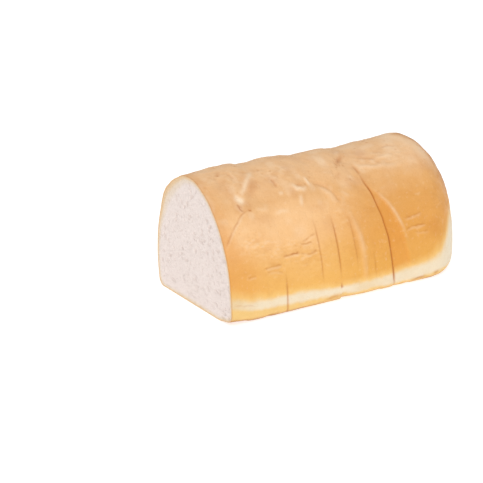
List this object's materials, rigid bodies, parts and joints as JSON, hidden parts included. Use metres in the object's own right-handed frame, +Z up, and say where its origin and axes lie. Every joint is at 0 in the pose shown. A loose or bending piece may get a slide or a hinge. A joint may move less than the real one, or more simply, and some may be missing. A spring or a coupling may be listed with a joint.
{
  "type": "sliced white loaf",
  "caption": "White pan loaf cut into slices that still stand in the loaf's shape, with an open crumb face at one end and a rounded crust heel at the other.",
  "frame": {"origin": "centre of the loaf's box at the base, on the table", "axes": "+X along the loaf from the open cut face to the heel, -Y the front, +Z up"},
  "size_m": [0.2392, 0.115, 0.1093],
  "materials": {
    "crust": "matte to satin baked crust, golden, with a pale band low on the walls"
  },
  "bodies": {
    "root": {"slice_01": "crust", "slice_02": "crust", "slice_03": "crust", "slice_04": "crust", "slice_05": "crust", "slice_06": "crust", "slice_07": "crust", "slice_08": "crust", "slice_09": "crust", "slice_10": "crust", "slice_11": "crust", "slice_12": "crust", "slice_13": "crust"}
  },
  "joints": []
}
